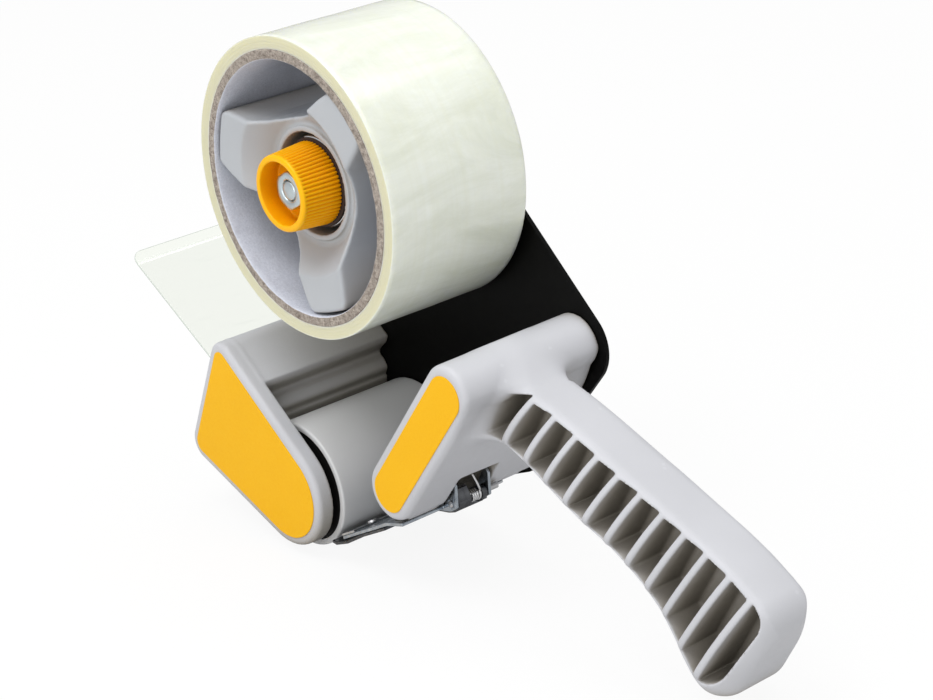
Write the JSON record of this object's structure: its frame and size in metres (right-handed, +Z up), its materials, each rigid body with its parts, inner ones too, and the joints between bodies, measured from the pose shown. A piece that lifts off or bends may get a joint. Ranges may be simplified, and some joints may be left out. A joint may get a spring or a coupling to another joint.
{
  "type": "packing tape dispenser",
  "caption": "Hand-held carton tape gun: side plate, ribbed grip, braked hub with a tape roll, roller, sprung-guarded saw blade and a clear wiper flap.",
  "frame": {"origin": "point where the hub's axis meets the flat outer face of the side plate", "axes": "+Y along the hub axis, out of the side plate (the roll loads from -Y); +X towards the hand grip; +Z up when the gun stands on its tape roller and the tip of its grip"},
  "size_m": [0.2643, 0.0588, 0.1659],
  "materials": {
    "plate_black": "satin black painted sheet steel",
    "moulding_grey": "light grey moulded plastic, satin",
    "guard_steel": "blackened sheet steel",
    "roller_grey": "mid grey moulded plastic tube, satin",
    "washer_brown": "dark brown vulcanised fibre",
    "bush_black": "black plastic",
    "label_yellow": "plain orange-yellow coated paper sticker, no lettering",
    "clear_film": "clear flexible plastic sheet",
    "screw_steel": "zinc-plated steel",
    "shaft_steel": "turned steel",
    "zinc_sheet": "zinc-plated sheet steel",
    "blade_steel": "hardened steel strip with ground teeth",
    "rivet_steel": "bright steel",
    "spring_steel": "bright spring wire",
    "hub_grey": "light grey moulded plastic, faint lilac tint",
    "felt_dark": "compressed felt",
    "knob_yellow": "amber moulded plastic, knurled",
    "nut_zinc": "zinc-plated steel",
    "core_board": "wound cardboard, speckled edge",
    "tape_clear": "wound clear adhesive film, pale cream from the side"
  },
  "bodies": {
    "frame": {"side_plate": "plate_black", "plate_screws": "screw_steel", "nose_housing": "moulding_grey", "nose_label": "label_yellow", "roller_axle": "shaft_steel", "handle": "moulding_grey", "handle_label": "label_yellow", "blade_holder": "zinc_sheet", "cutting_blade": "blade_steel", "blade_rivets": "rivet_steel", "holder_screws": "screw_steel", "guard_pin": "shaft_steel", "guard_spring": "spring_steel", "hub_shaft": "nut_zinc", "friction_disc": "felt_dark", "hub_spring": "spring_steel"},
    "hub": {"hub_wheel": "hub_grey", "spring_seat": "screw_steel"},
    "tape_roll": {"tape_core": "core_board", "tape_winding": "tape_clear"},
    "washer": {"tension_washer": "washer_brown"},
    "knob": {"tension_knob": "knob_yellow", "knob_nut": "nut_zinc"},
    "roller": {"tape_roller": "roller_grey", "roller_bushes": "bush_black"},
    "guard": {"blade_guard": "guard_steel"},
    "flap": {"wiper_flap": "clear_film"}
  },
  "joints": [
    {"name": "hub_spin", "type": "hinge", "parent": "frame", "child": "hub", "pos_m": [0, -0.025, 0], "axis": [0, 1, 0], "continuous": true},
    {"name": "roll_slide", "type": "slide", "parent": "hub", "child": "tape_roll", "axis": [0, -1, 0], "range_m": [0, 0.056]},
    {"name": "knob_travel", "type": "slide", "parent": "frame", "child": "washer", "axis": [0, 1, 0], "range_m": [-0.002, 0.001], "deforming": ["hub_spring"]},
    {"name": "knob_turn", "type": "hinge", "parent": "washer", "child": "knob", "pos_m": [0, -0.05, 0], "axis": [0, 1, 0], "range_deg": [-720, 360]},
    {"name": "roller_spin", "type": "hinge", "parent": "frame", "child": "roller", "pos_m": [-0.01651, -0.025, -0.101], "axis": [0, 1, 0], "continuous": true},
    {"name": "guard_swing", "type": "hinge", "parent": "frame", "child": "guard", "pos_m": [0.0387, -0.0263, -0.0944], "axis": [0, 1, 0], "range_deg": [-25, 0], "stiffness_Nm_per_rad": 0.05, "deforming": ["guard_spring"]},
    {"name": "flap_swing", "type": "hinge", "parent": "frame", "child": "flap", "pos_m": [-0.0519, -0.0263, -0.0735], "axis": [0, 1, 0], "range_deg": [-15, 20]}
  ],
  "couplings": [
    {"joint": "knob_travel", "follows": "knob_turn", "m_per_rad": 0.00015915}
  ]
}
